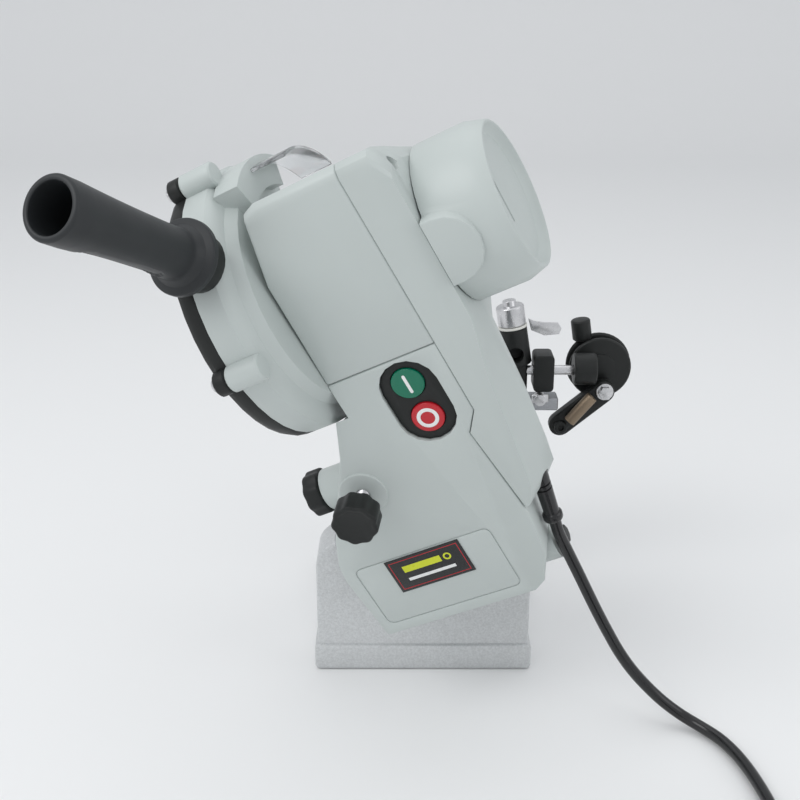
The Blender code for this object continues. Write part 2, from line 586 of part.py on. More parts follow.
def make_guard():
    r = GUARD_RADIUS
    shell = turned([(r - 3, GUARD_SEAM + GAP), (r, GUARD_SEAM + GAP), (r, -4), (r - 4, 0), (r - 10, 2),
                    (r - 14, GUARD_INNER),
                    (12, GUARD_INNER), (12, GUARD_INNER - 3), (r - 16, GUARD_INNER - 3), (r - 12.5, -1),
                    (r - 6, -3.5),
                    (r - 3, -6)], (0, AXLE_Y, AXLE_Z), (1, 0, 0), 40)
    cover = turned([(0, GUARD_OUTER), (r - 8, GUARD_OUTER), (r - 2, GUARD_OUTER + 3), (r, GUARD_OUTER + 7),
                    (r, GUARD_SEAM),
                    (r - 3, GUARD_SEAM), (r - 3, GUARD_OUTER + 8), (r - 8.5, GUARD_OUTER + 3),
                    (0, GUARD_OUTER + 3)],
                   (0, AXLE_Y, AXLE_Z), (1, 0, 0), 40)
    bosses_shell, bosses_cover, drills = [], [], []
    for angle in (95, 181):
        y, z = boss_place(angle, r + 3.0)
        bosses_shell.append(rod(7.5, (GUARD_SEAM + GAP, y, z), (2, y, z), 20, 1.0))
        bosses_cover.append(rod(7.2, (GUARD_SEAM - 8, y, z), (GUARD_SEAM, y, z), 20, 1.0))
        drills.append((y, z))
    wedge = [sector(GUARD_OPEN[0], GUARD_OPEN[1], 46, 120, -40, 20)]
    band = sector(58, 107, 60, r - 1.5, 0.5, GUARD_STEP)
    shell = cut(union(shell, band, *bosses_shell), *wedge)
    holes = [rod(2.3, (GUARD_SEAM - 20, y, z), (GUARD_SEAM + 12, y, z), 12) for y, z in drills]
    piece("guard_shell", cut(shell, *holes), HOUSING, hinge_frame)
    holes = [rod(2.3, (GUARD_SEAM - 20, y, z), (GUARD_SEAM + 12, y, z), 12) for y, z in drills]
    wedge = [sector(GUARD_OPEN[0], GUARD_OPEN[1], 46, 120, -40, 20)]
    piece("guard_cover", cut(union(cover, *bosses_cover), *wedge, *holes), BLACK, hinge_frame)
    for number, (y, z) in enumerate(drills, 1):
        screw = union(rod(3.6, (GUARD_SEAM - 10.6, y, z), (GUARD_SEAM - 8.3, y, z), 16),
                      rod(2.0, (GUARD_SEAM - 9, y, z), (GUARD_SEAM + 9, y, z), 12))
        piece("guard_screw_%d" % number, screw, ZINC, hinge_frame)


def make_shield():
    points = []
    steps = 10
    for radius, order in ((SHIELD_RADIUS, range(steps + 1)), (SHIELD_RADIUS - 2, range(steps, -1, -1))):
        for k in order:
            angle = radians(SHIELD_FROM + (SHIELD_TO - SHIELD_FROM) * k / steps)
            points.append((radius * cos(angle), radius * sin(angle)))
    sheet = prism(points, "x", GUARD_STEP + GAP, GUARD_STEP + 22)
    piece("clear_shield", sheet, CLEAR, shield_frame)


# ---------------------------------------------------------------- handle
def make_handle():
    out = Vector((0, -cos(HANDLE_RISE), sin(HANDLE_RISE)))
    length = HANDLE_LENGTH
    grip = turned([(14.0, 0), (20.5, 0), (20.5, 5), (15, 7), (13.6, 12), (13.8, length * 0.5),
                   (15.2, length - 8),
                   (15.9, length - 1.5), (15.2, length), (12.6, length), (11.8, length - 4), (10.5, 20),
                   (6.3, 18),
                   (6.3, 2), (14.0, 2)], HANDLE_FOOT, out, 26)
    piece("handle_grip", grip, BLACK, hinge_frame)
    stud = rod(6.0, HANDLE_FOOT - out * 9, HANDLE_FOOT + out * 26, 16)
    piece("handle_stud", stud, ZINC, hinge_frame)
    boss = cut(rod(15.5, HANDLE_FOOT - out * 22, HANDLE_FOOT - out * GAP, 28, 1.0),
               rod(6.3, HANDLE_FOOT - out * 14.5, HANDLE_FOOT + out * 5, 20),
               rod(GUARD_RADIUS + 0.3, (-60, AXLE_Y, AXLE_Z), (40, AXLE_Y, AXLE_Z), 40))
    piece("handle_boss", boss, BLACK, hinge_frame)


# ---------------------------------------------------------------- switch, label, knobs
def make_front_trim():
    x, z = SWITCH_CENTRE
    face = FRONT + SWITCH_DEEP
    plate = prism(stadium(SWITCH_CENTRE, SWITCH_HALF, SWITCH_REACH), "y", face, face + 3.5, 0.8, 2,
                  top_only=face)
    plate = cut(plate, *[rod(BUTTON_RADIUS + 0.5, (x, FRONT - 10, b), (x, FRONT + 10, b),
                             28) for b in BUTTON_Z.values()])
    piece("switch_plate", plate, BLACK, hinge_frame)
    body = block((x - 14, FRONT + 9.5, z - 24), (x + 14, FRONT + 30, z + 24), 1.0, 1)
    piece("switch_body", body, BLACK, hinge_frame)
    for colour, finish in (("green", GREEN), ("red", RED)):
        place = BUTTON_Z[colour]
        button = rod(BUTTON_RADIUS, (x, face - 1.4, place), (x, FRONT + 6.8, place), 28, 0.8)
        piece(colour + "_button", button, finish, hinge_frame, (x, FRONT, place))
    label = prism(rounded((-LABEL_HALF[0], LABEL_Z - LABEL_HALF[1]),
                          (LABEL_HALF[0], LABEL_Z + LABEL_HALF[1]), 0.8, 2),
                  "y", FRONT - GAP - 0.5, FRONT - GAP)
    piece("label_plate", label, BLACK, hinge_frame)


def scalloped(radius, depth, lobes, steps_per_lobe=3):
    points = []
    count = lobes * steps_per_lobe
    for k in range(count):
        angle = 2 * pi * k / count
        r = radius - depth * (0.5 - 0.5 * cos(lobes * angle))
        points.append((r * cos(angle), r * sin(angle)))
    return points


def make_knobs():
    x, z = STUD_PLACE
    outline = [(x + u, z + v) for u, v in scalloped(14.0, 1.6, 8)]
    knob = prism(outline, "y", FRONT - 31, FRONT - 15.3, 1.4, 1)
    neck = rod(8.5, (x, FRONT - 16, z), (x, FRONT - 12.5, z), 24)
    bore = rod(4.3, (x, FRONT - 22, z), (x, FRONT, z), 20)
    piece("lock_knob", cut(union(knob, neck), bore), BLACK, hinge_frame, (x, FRONT, z))
    stud = rod(4.0, (x, FRONT - 21.5, z), (x, FRONT + 24, z), 20, 0.6)
    piece("lock_stud", stud, ZINC, hinge_frame, (x, FRONT, z))
    side = [(4 + u, 43 + v) for u, v in scalloped(15.0, 1.4, 8)]
    knob = prism(side, "x", -64, -52.3 - GAP, 1.2, 1)
    stem = rod(3.7, (-60, 4, 43), (-24, 4, 43), 20)
    piece("swing_knob", union(knob, stem), BLACK, hinge_frame, (-52, 4, 43))
    y, z = DEPTH_KNOB
    small = [(y + u, z + v) for u, v in scalloped(6.4, 0.8, 8, 3)]
    knob = prism(small, "x", 72.2, 77, 0.8, 1)
    stem = rod(3.0, (64.5, y, z), (73, y, z), 12)
    washer = rod(7.6, (70.5 + GAP, y, z), (71.6, y, z), 20)
    piece("depth_knob", union(knob, stem, washer), BLACK, hinge_frame, (70.5, y, z))


# ---------------------------------------------------------------- chain vise
def make_vise():
    """Pieces that turn on the post; x along the chain and y across it, z from the bench."""
    top = POST_TOP + GAP
    turntable = union(rod(26, (0, 0, top), (0, 0, top + 6), 36, 0.8),
                      rod(5.0, (0, 0, top - 20), (0, 0, top + 3), 24),
                      block((-42, -16, top + 5), (44, 20, top + 15), 1.0, 1),
                      block((-42, 4.0, top + 14), (44, 20, top + 33), 1.0, 1),
                      block((40, -8, top + 3), (92, 8, top + 13), 1.0, 1))
    bolt = rod(4.1, (10, -30, top + 24), (10, 40, top + 24), 20)
    feed = rod(4.1, (60, -2, ROD_Z), (100, -2, ROD_Z), 20)
    piece("vise_table", cut(turntable, bolt, feed), BLACK, vise_frame)
    jaw = block((-42, 0.9, top + 15.4), (44, 3.7, top + 37), 0.5, 1)
    piece("fixed_jaw", jaw, STEEL, vise_frame)
    jaw = cut(block((-42, -8.5, top + 15.6), (44, -4.1, top + 37), 0.5, 1),
              rod(4.1, (10, -30, top + 24), (10, 10, top + 24), 20))
    piece("moving_jaw", jaw, STEEL, vise_frame)


def make_vise_right():
    """The clamp barrel, feed rod and dial that show beyond the arm."""
    lean = Vector((0.17, 0, -1)).normalized()
    head = Vector((53.5, 0, 224.0))
    barrel = union(rod(10.5, head, head + lean * 15, 28, 0.8), rod(5.0, head - lean * 4, head + lean * 2, 20))
    piece("clamp_barrel", barrel, ZINC, vise_frame)
    piece("nylon_washer", rod(11.0, head + lean * 15.3, head + lean * 17, 28), NYLON, vise_frame)
    column = union(rod(10.5, head + lean * 17.3, head + lean * 46, 28, 0.8),
                   block((50, -7, 154), (68, 7, 186), 1.5, 1))
    mouth = rod(6.0, (58.5, -14, 188), (58.5, 2, 188), 20)
    column = cut(column, mouth, rod(4.1, (40, -2, ROD_Z), (90, -2, ROD_Z), 20),
                 block((45, -10, 140), (90, 10, POST_TOP + 13.8)))
    piece("clamp_column", column, BLACK, vise_frame)
    blade = prism([(67.4, 214.5), (72, 212.6), (80, 211.4), (90, 211.2), (92.5, 207), (91, 202.5),
                   (80, 201.5), (70, 205.5)],
                  "y", -3, -1.2)
    piece("clamp_lever", blade, ZINC, vise_frame, (54, 0, 210))
    piece("feed_rod", rod(3.7, (45, -2, ROD_Z), (104, -2, ROD_Z), 20, 0.5), ZINC, vise_frame)
    bracket = cut(prism(rounded((72.3, 159.5), (87.5, 188), 3), "y", -12, 8, 1.0, 1),
                  rod(4.1, (60, -2, ROD_Z), (100, -2, ROD_Z), 20))
    bracket = cut(bracket, block((60, -20, 140), (100, 20, POST_TOP + 13.8)))
    piece("rod_bracket", bracket, BLACK, vise_frame)
    collar = cut(rod(12, (103, -2, ROD_Z + 1), (120, -2, ROD_Z + 1), 28, 1.0),
                 rod(4.1, (95, -2, ROD_Z), (104.6, -2, ROD_Z), 20))
    piece("rod_collar", collar, BLACK, vise_frame)


def make_dial():
    """Twin discs, their link and its fixings, at the right end of the feed rod."""
    centre = Vector((126, 0, 170))
    back = Vector((0, 1, 0))
    spin = Vector((0.0, 1.0, 0.0))
    place = centre + back * 23
    disc = union(rod(25, place + spin * 1, place + spin * 5, 40, 1.2),
                 rod(9, place - spin * 4.4, place + spin * 2, 24),
                 rod(7.5, (113, 25, 190), (110.5, 25, 206), 20, 1.0))
    piece("dial_back", disc, BLACK, vise_frame, place)
    hub = centre + back * 12.0
    front = union(rod(24, hub + spin * 1.5, hub + spin * 5.5, 40, 1.2),
                  rod(12, hub - spin * 1.0, hub + spin * 3, 28))
    piece("dial_front", front, BLACK, vise_frame, hub)
    head = union(rod(5.4, (127.5, -9, 157), (127.5, -4.5, 157), 6),
                 rod(6.6, (127.5, -4.6, 157), (127.5, -3.0, 157), 20))
    piece("dial_bolt", head, ZINC, vise_frame)
    link = [(95, 129), (127, 156.0)]
    lobe = capsule(link[0], link[1], 8.5, 10)
    socket = cut(rod(5.0, (95, -8.0, 129), (95, -2.0, 129), 20, 0.5),
                 rod(2.6, (95, -12, 129), (95, -5.5, 129), 6))
    piece("dial_link", union(prism(lobe, "y", -2.7, 7.0, 1.0, 1), socket), BLACK, vise_frame)
    sleeve = tube(4.6, 1.8, (117.5, -7.6, 154.5), (101, -7.6, 134.5), 20)
    piece("link_sleeve", sleeve, BRONZE, vise_frame)
    wing = union(rod(4.5, (77, -18, 155), (77, -8.5, 155), 16),
                 block((70.5, -17, 152.8), (83.5, -14.5, 159.5), 0.8, 1))
    piece("wing_nut", wing, ZINC, vise_frame)


def capsule(start, end, radius, steps):
    start, end = Vector(start), Vector(end)
    angle = atan2((end - start).y, (end - start).x)
    points = []
    for place, turn in ((end, angle - pi / 2), (start, angle + pi / 2)):
        for k in range(steps + 1):
            a = turn + pi * k / steps
            points.append((place.x + radius * cos(a), place.y + radius * sin(a)))
    return points


def make_lead():
    """Strain relief on the arm; the lead, its coil, tie and plug on the bench."""
    along = (LEAD_END - LEAD_ROOT).normalized()
    length = (LEAD_END - LEAD_ROOT).length
    relief = turned([(4.1, 0), (5.2, 0), (5.2, 14), (4.9, length - 5), (6.2, length - 4.4),
                     (6.2, length - 0.8),
                     (5.6, length), (4.1, length)], LEAD_ROOT, along, 24)
    piece("strain_relief", relief, BLACK, hinge_frame)
    tube_along("cord", smooth(CORD_ROUTE, 2))
    cx, cy = COIL_CENTRE
    w, r = COIL_HALF_WIDTH + 1.0, COIL_RADIUS
    ring = turned([(r - w, 2.0), (r + w, 2.0), (r + w, 2 + COIL_HEIGHT), (r - w, 2 + COIL_HEIGHT)],
                  (cx, cy, 0), (0, 0, 1), 40)
    piece("cord_coil", ring, CORD_BLACK, None)
    tube_along("cord_tail", [(cx - 35 - 4 * k, cy - r, 4.0) for k in range(7)])
    end_x = cx - 35 - 24 - GAP
    body = prism(rounded((end_x - 36, cy - r - 13), (end_x, cy - r + 13), 6, 3), "z", 0, 17, 2.0, 1)
    pins = [rod(2.3, (end_x - 30, cy - r + side, 8.5), (end_x - 54, cy - r + side, 8.5),
                12) for side in (-6.3, 6.3)]
    piece("plug", union(body, *pins), CORD_BLACK, None)
    tie = cut(prism(rounded((cy + r - w - 2, 0.3), (cy + r + w + 2, 2 + COIL_HEIGHT + 2), 2, 3), "x",
                    cx - 5, cx + 5),
              block((cx - 10, cy + r - w - 0.6, 1.2), (cx + 10, cy + r + w + 0.6, 2 + COIL_HEIGHT + 0.7)))
    piece("cord_tie", tie, CORD_BLACK, None)


def smooth(route, between):
    """Points along a Catmull-Rom curve through the route."""
    ends = [Vector(p) for p in route]
    ends = [ends[0] * 2 - ends[1]] + ends + [ends[-1] * 2 - ends[-2]]
    points = []
    for i in range(1, len(ends) - 2):
        a, b, c, d = ends[i - 1:i + 3]
        for k in range(between):
            t = k / between
            points.append(0.5 * ((2 * b) + (c - a) * t + (2 * a - 5 * b + 4 * c - d) * t * t
                                 + (3 * b - a - 3 * c + d) * t ** 3))
    return points + [ends[-2]]


def tube_along(name, points):
    curve = bpy.data.curves.new(name, "CURVE")
    curve.dimensions = "3D"
    curve.bevel_depth = CORD_RADIUS * METRE
    curve.bevel_resolution = 2
    curve.use_fill_caps = True
    spline = curve.splines.new("POLY")
    spline.points.add(len(points) - 1)
    for point, place in zip(spline.points, points):
        point.co = (*(Vector(place) * METRE), 1.0)
    obj = bpy.data.objects.new(name, curve)
    root_collection.objects.link(obj)
    curve.materials.append(material(*CORD_BLACK))


make_base()
make_tilt_group()
make_lower_cover()
make_arm_frame()
make_housing()
make_motor()
make_spindle()
make_guard()
shield_frame = frame_empty("shield_axis", matrix_at((0, AXLE_Y, AXLE_Z)), hinge_frame)
make_shield()
make_handle()
make_front_trim()
make_knobs()
make_vise()
make_vise_right()
make_dial()
make_lead()
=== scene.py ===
import json
from math import cos, pi, radians, sin

import bmesh
import bpy
from mathutils import Matrix, Vector


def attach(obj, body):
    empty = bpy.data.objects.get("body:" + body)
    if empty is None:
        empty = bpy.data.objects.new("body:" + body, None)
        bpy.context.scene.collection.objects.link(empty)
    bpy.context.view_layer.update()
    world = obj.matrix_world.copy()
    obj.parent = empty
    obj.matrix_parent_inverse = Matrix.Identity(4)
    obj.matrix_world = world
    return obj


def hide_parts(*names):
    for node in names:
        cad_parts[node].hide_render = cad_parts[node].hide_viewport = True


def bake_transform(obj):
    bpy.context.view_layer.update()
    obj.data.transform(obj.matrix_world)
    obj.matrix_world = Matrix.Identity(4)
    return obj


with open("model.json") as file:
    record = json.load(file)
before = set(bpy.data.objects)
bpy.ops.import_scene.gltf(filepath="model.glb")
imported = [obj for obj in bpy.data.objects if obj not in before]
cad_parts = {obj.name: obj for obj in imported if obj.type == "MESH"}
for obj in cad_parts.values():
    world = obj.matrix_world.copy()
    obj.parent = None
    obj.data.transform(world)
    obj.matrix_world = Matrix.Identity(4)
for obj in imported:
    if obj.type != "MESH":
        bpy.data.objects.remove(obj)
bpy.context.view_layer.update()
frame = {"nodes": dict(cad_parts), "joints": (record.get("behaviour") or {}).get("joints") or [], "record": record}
mm = 0.001
joints = {joint["name"]: joint for joint in frame["joints"]}
bodyOf = {node: body for body, nodes in frame["record"]["behaviour"]["bodies"].items() for node in nodes}
slotOf = {entry["node"]: entry["material_slot"] for entry in frame["record"]["subparts"]}

# the arm's own frame, in millimetres: x along the spindle, y away from the user, z up the arm
alongSpindle = Vector(joints["spindle_spin"]["axis"])
awayFromUser = Vector(joints["green_press"]["axis"])
upArm = alongSpindle.cross(awayFromUser)
armPlace = Matrix((alongSpindle, awayFromUser, upArm)).transposed().to_4x4()
armPlace.translation = Vector(joints["arm_swing"]["pos_m"])
armPlace = armPlace @ Matrix.Scale(mm, 4)


# camera, floor and light
def makeCamera():
    data = bpy.data.cameras.new("camera")
    data.lens = 54
    data.sensor_width = 36
    camera = bpy.data.objects.new("camera", data)
    camera.location = (-0.016, -0.8025, 0.463)
    camera.rotation_euler = (radians(70), 0, 0)
    bpy.context.scene.collection.objects.link(camera)
    bpy.context.scene.camera = camera


studio = {"world": 0.74, "key": 9.0, "fill": 3.0, "top": 3.2, "floor": (0.845, 0.85, 0.85)}


def areaLight(name, place, target, size, power):
    data = bpy.data.lights.new(name, "AREA")
    data.shape = "RECTANGLE"
    data.size = size[0]
    data.size_y = size[1]
    data.energy = power
    lamp = bpy.data.objects.new(name, data)
    lamp.location = place
    lamp.rotation_euler = (Vector(target) - Vector(place)).to_track_quat("-Z", "Y").to_euler()
    bpy.context.scene.collection.objects.link(lamp)


def makeStudio():
    world = bpy.data.worlds.new("studio")
    world.use_nodes = True
    sky = world.node_tree.nodes["Background"]
    sky.inputs["Color"].default_value = (0.95, 0.97, 1.0, 1)
    sky.inputs["Strength"].default_value = studio["world"]
    bpy.context.scene.world = world
    areaLight("keyLight", (-0.9, -0.8, 1.3), (0, 0, 0.2), (1.2, 0.9), studio["key"])
    areaLight("fillLight", (1.2, -0.6, 0.9), (0, 0, 0.2), (1.0, 1.0), studio["fill"])
    areaLight("topLight", (0.1, 0.5, 1.7), (0, 0, 0.1), (1.8, 1.2), studio["top"])
    bpy.context.scene.view_settings.view_transform = "Standard"
    # a floor that curves up into a wall far behind
    bm = bmesh.new()
    profile = [bm.verts.new((-4, -2.5, -0.0005)), bm.verts.new((-4, 2.2, -0.0005))]
    for step in range(1, 9):
        angle = pi / 2 * step / 8
        profile.append(bm.verts.new((-4, 2.2 + 0.8 * sin(angle), 0.8 - 0.8 * cos(angle) - 0.0005)))
    profile.append(bm.verts.new((-4, 3.0, 3.5)))
    edges = [bm.edges.new(pair) for pair in zip(profile, profile[1:])]
    grown = bmesh.ops.extrude_edge_only(bm, edges=edges)
    fresh = [item for item in grown["geom"] if isinstance(item, bmesh.types.BMVert)]
    bmesh.ops.translate(bm, verts=fresh, vec=(8, 0, 0))
    bmesh.ops.recalc_face_normals(bm, faces=bm.faces)
    mesh = bpy.data.meshes.new("floor")
    bm.to_mesh(mesh)
    bm.free()
    mesh.shade_smooth()
    floor = bpy.data.objects.new("floor", mesh)
    bpy.context.scene.collection.objects.link(floor)
    floorPaint = bpy.data.materials.new("floorPaper")
    floorPaint.use_nodes = True
    shader = floorPaint.node_tree.nodes["Principled BSDF"]
    shader.inputs["Base Color"].default_value = (*studio["floor"], 1)
    shader.inputs["Roughness"].default_value = 0.6
    mesh.materials.append(floorPaint)


makeCamera()
makeStudio()
print("stage ready")


# shader maths written as expressions
class Wire:
    def __init__(self, finish, socket):
        self.finish = finish
        self.socket = socket

    def math(self, operation, first, second):
        return self.finish.add("ShaderNodeMath", {"operation": operation}, {0: first, 1: second})

    def __add__(self, other):
        return self.math("ADD", self, other)

    def __radd__(self, other):
        return self.math("ADD", other, self)

    def __sub__(self, other):
        return self.math("SUBTRACT", self, other)

    def __rsub__(self, other):
        return self.math("SUBTRACT", other, self)

    def __mul__(self, other):
        return self.math("MULTIPLY", self, other)

    def __rmul__(self, other):
        return self.math("MULTIPLY", other, self)


class Finish:
    def __init__(self, name, **constants):
        self.material = bpy.data.materials.new(name)
        self.material.use_nodes = True
        self.nodes = self.material.node_tree.nodes
        self.links = self.material.node_tree.links
        self.shader = self.nodes["Principled BSDF"]
        self.place = self.nodes.new("ShaderNodeTexCoord").outputs["Object"]
        for socket, value in constants.items():
            self.feed(self.shader, socket.replace("_", " "), value)

    def feed(self, node, socket, value):
        if isinstance(value, Wire):
            value = value.socket
        if isinstance(value, bpy.types.NodeSocket):
            self.links.new(value, node.inputs[socket])
        else:
            node.inputs[socket].default_value = value

    def add(self, kind, settings, sockets, output=0):
        node = self.nodes.new(kind)
        for name, value in settings.items():
            if name == "stops":
                ramp = node.color_ramp
                while len(ramp.elements) < len(value):
                    ramp.elements.new(0.5)
                for stop, (position, shade) in zip(ramp.elements, value):
                    stop.position = position
                    stop.color = (shade, shade, shade, 1)
            else:
                setattr(node, name, value)
        for socket, value in sockets.items():
            self.feed(node, socket, value)
        return Wire(self, node.outputs[output])

    def noise(self, perMetre, detail=3.0, rough=0.5, place=None):
        spots = {"Vector": place or self.place, "Scale": perMetre, "Detail": detail, "Roughness": rough}
        return self.add("ShaderNodeTexNoise", {}, spots)

    def stretched(self, scale):
        return self.add("ShaderNodeMapping", {}, {"Vector": self.place, "Scale": scale})

    def ramp(self, value, stops):
        return self.add("ShaderNodeValToRGB", {"stops": stops}, {"Fac": value})

    def mixed(self, factor, first, second):
        return self.add("ShaderNodeMix", {"data_type": "RGBA"}, {0: factor, 6: first, 7: second}, 2)

    def bump(self, height, depth, strength=1.0):
        wire = self.add("ShaderNodeBump", {}, {"Height": height, "Distance": depth, "Strength": strength})
        self.feed(self.shader, "Normal", wire)

    def colour(self, value):
        self.feed(self.shader, "Base Color", value)

    def rough(self, value):
        self.feed(self.shader, "Roughness", value)


def shade(rgb, factor):
    return (rgb[0] * factor, rgb[1] * factor, rgb[2] * factor, 1)


def mouldedPlastic(name, rgb, roughness, grain, depth, mottle=0.05, **constants):
    finish = Finish(name, **constants)
    cloud = finish.noise(38, 4)
    fine = finish.noise(grain, 2)
    finish.colour(finish.mixed(cloud, shade(rgb, 1 - mottle), shade(rgb, 1 + mottle)))
    finish.rough(roughness - 0.06 + 0.12 * finish.noise(90, 3))
    finish.bump(fine, depth)
    return finish.material


def castMetal(name, rgb, roughness, metallic, grain, depth):
    finish = Finish(name, Metallic=metallic)
    cells = finish.add("ShaderNodeTexVoronoi", {}, {"Vector": finish.place, "Scale": grain})
    fine = finish.noise(grain * 1.7, 3)
    pits = finish.ramp(cells, [(0.0, 0.0), (0.5, 1.0)])
    flecks = finish.ramp(finish.noise(grain * 0.9, 4, 0.7), [(0.34, 0.0), (0.66, 1.0)])
    blend = flecks * 0.75 + 0.25 * finish.noise(30, 5)
    finish.colour(finish.mixed(blend, shade(rgb, 0.84), shade(rgb, 1.12)))
    finish.rough(roughness + 0.2 * fine)
    finish.bump(fine * 0.7 + pits * 0.3, depth)
    return finish.material


def platedSteel(name, rgb, roughness, stretch=(1, 1, 1), scratches=500):
    finish = Finish(name, Metallic=1.0)
    lines = finish.noise(scratches, 4, 0.6, finish.stretched(stretch))
    finish.colour(finish.mixed(finish.noise(120, 4), shade(rgb, 0.85), shade(rgb, 1.05)))
    finish.rough(roughness - 0.08 + 0.18 * lines)
    finish.bump(lines, 0.00002)
    return finish.material


def gritStone(name, rgb):
    finish = Finish(name)
    cells = finish.add("ShaderNodeTexVoronoi", {}, {"Vector": finish.place, "Scale": 1400.0})
    fine = finish.noise(1900, 3)
    finish.colour(finish.mixed(finish.ramp(fine, [(0.35, 0.0), (0.65, 1.0)]), shade(rgb, 0.72),
                               shade(rgb, 1.15)))
    finish.rough(0.8 + 0.15 * fine)
    finish.bump(cells, 0.0002)
    return finish.material


finishes = {
    "housing_grey": mouldedPlastic("housingPlastic", (0.505, 0.55, 0.535), 0.42, 2600.0, 0.00002, 0.02),
    "black_plastic": mouldedPlastic("blackPlastic", (0.013, 0.0145, 0.014), 0.45, 1700.0, 0.00004, 0.15,
                                    Specular_IOR_Level=0.32),
    "grip_black": mouldedPlastic("gripPlastic", (0.020, 0.0225, 0.0245), 0.46, 3000.0, 0.00002, 0.12,
                                 Specular_IOR_Level=0.4),
    "cast_base": castMetal("silverCasting", (0.60, 0.615, 0.62), 0.36, 0.45, 760.0, 0.00022),
    "cast_dark": castMetal("bareCasting", (0.40, 0.41, 0.43), 0.42, 0.85, 900.0, 0.0001),
    "steel": platedSteel("zincPlate", (0.66, 0.66, 0.67), 0.28),
    "steel_dark": platedSteel("laminations", (0.30, 0.30, 0.31), 0.42, (30, 1, 1)),
    "bronze": platedSteel("sinteredBronze", (0.30, 0.235, 0.17), 0.5),
    "wheel_grit": gritStone("abrasive", (0.62, 0.33, 0.27)),
    "clear_plastic": mouldedPlastic("clearShieldPlastic", (0.93, 0.95, 0.96), 0.12, 60.0, 0.00002, 0.01,
                                    Transmission_Weight=0.92, IOR=1.45),
    "button_green": mouldedPlastic("buttonGreen", (0.0, 0.155, 0.085), 0.26, 900.0, 0.00001, 0.06),
    "button_red": mouldedPlastic("buttonRed", (0.50, 0.012, 0.022), 0.26, 900.0, 0.00001, 0.06),
    "label": mouldedPlastic("labelFilm", (0.012, 0.012, 0.013), 0.22, 700.0, 0.00001, 0.08),
    "cord_black": mouldedPlastic("cordJacket", (0.012, 0.012, 0.013), 0.17, 420.0, 0.00003, 0.1),
    "white_nylon": mouldedPlastic("naturalNylon", (0.74, 0.74, 0.70), 0.4, 1200.0, 0.00003, 0.04),
    "label_yellow": mouldedPlastic("labelYellow", (0.62, 0.68, 0.02), 0.3, 900.0, 0.00001, 0.03),
    "white_mark": mouldedPlastic("whiteMark", (0.80, 0.81, 0.80), 0.32, 900.0, 0.00001, 0.02),
}
print("finishes ready")


# pieces
def finishPiece(name, bm, finish, body, cadNodes=(), place=None, smooth=34):
    if place is not None:
        bmesh.ops.transform(bm, matrix=place, verts=bm.verts)
    mesh = bpy.data.meshes.new(name)
    bm.to_mesh(mesh)
    bm.free()
    mesh.shade_smooth()
    mesh.set_sharp_from_angle(angle=radians(smooth))
    mesh.materials.append(finishes[finish])
    piece = bpy.data.objects.new(name, mesh)
    bpy.context.scene.collection.objects.link(piece)
    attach(piece, body)
    if cadNodes:
        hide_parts(*cadNodes)
    return piece


def refined(node, width=0.5, segments=2, sharp=34, finish=None):
    # a copy of the frame's solid with its flat faces joined and its edges rounded
    bm = bmesh.new()
    bm.from_mesh(frame["nodes"][node].data)
    bmesh.ops.remove_doubles(bm, verts=bm.verts, dist=0.000004)
    bmesh.ops.dissolve_limit(bm, angle_limit=radians(0.6), verts=bm.verts, edges=bm.edges, delimit=set())
    if width:
        edges = [e for e in bm.edges if len(e.link_faces) == 2 and e.calc_face_angle(0) > radians(sharp)]
        bmesh.ops.bevel(bm, geom=edges, offset=width * mm, offset_type="OFFSET", segments=segments,
                        profile=0.5,
                        affect="EDGES", clamp_overlap=True, material=-1)
    return finishPiece(node + "_skin", bm, finish or slotOf[node], bodyOf[node], [node])


edgeWidth = {
    "lower_cover": 0.9, "upper_housing": 1.2, "right_shell": 0.9, "motor_can": 0.6, "guard_shell": 0.8,
    "guard_cover": 0.8, "base": 1.6, "tilt_yoke": 0.8, "handle_boss": 0.8, "plug": 1.2, "vise_table": 0.6,
}
handMade = {"cord", "cord_coil", "cord_tail", "handle_grip", "lock_knob", "lock_stud", "swing_knob",
            "strain_relief", "green_button", "red_button", "label_plate"}
for node in sorted(frame["nodes"]):
    if node not in handMade:
        refined(node, edgeWidth.get(node, 0.3))
print("solids refined")


# mains lead, from the strain relief down to the bench, into its coil and out to the plug
lead = {
    "radius": 3.75,
    "route": [
        (77.4, -146.0, 147.0), (80.4, -144.4, 138.0), (84.6, -142.4, 128.5), (89.6, -140.8, 118.0),
        (95.4, -139.9, 106.0), (101.6, -139.5, 93.0), (108.2, -139.3, 79.5), (115.2, -139.3, 66.0),
        (123.0, -139.6, 52.0), (131.8, -140.0, 39.0), (142.0, -140.6, 27.0), (153.6, -142.4, 16.0),
        (165.6, -146.4, 8.2), (176.4, -153.6, 4.6), (185.0, -164.6, 4.0), (191.0, -178.6, 4.0),
        (195.0, -194.6, 4.0), (197.6, -212.0, 4.0), (199.2, -231.0, 4.0), (200.0, -252.0, 4.0),
        (200.0, -279.0, 4.0), (201.6, -297.0, 4.4)],
    "coilCentre": (156.0, -315.0),
    "inner": 40.0, "outer": 48.0, "layers": (5.2, 13.2, 21.2),
    "tail": [(147.0, -358.6, 21.2), (138.5, -362.0, 20.2), (130.0, -363.6, 17.0), (121.5, -363.0, 12.0),
             (113.5, -361.2, 7.6), (105.5, -359.6, 4.8), (97.2, -359.0, 4.0)],
}


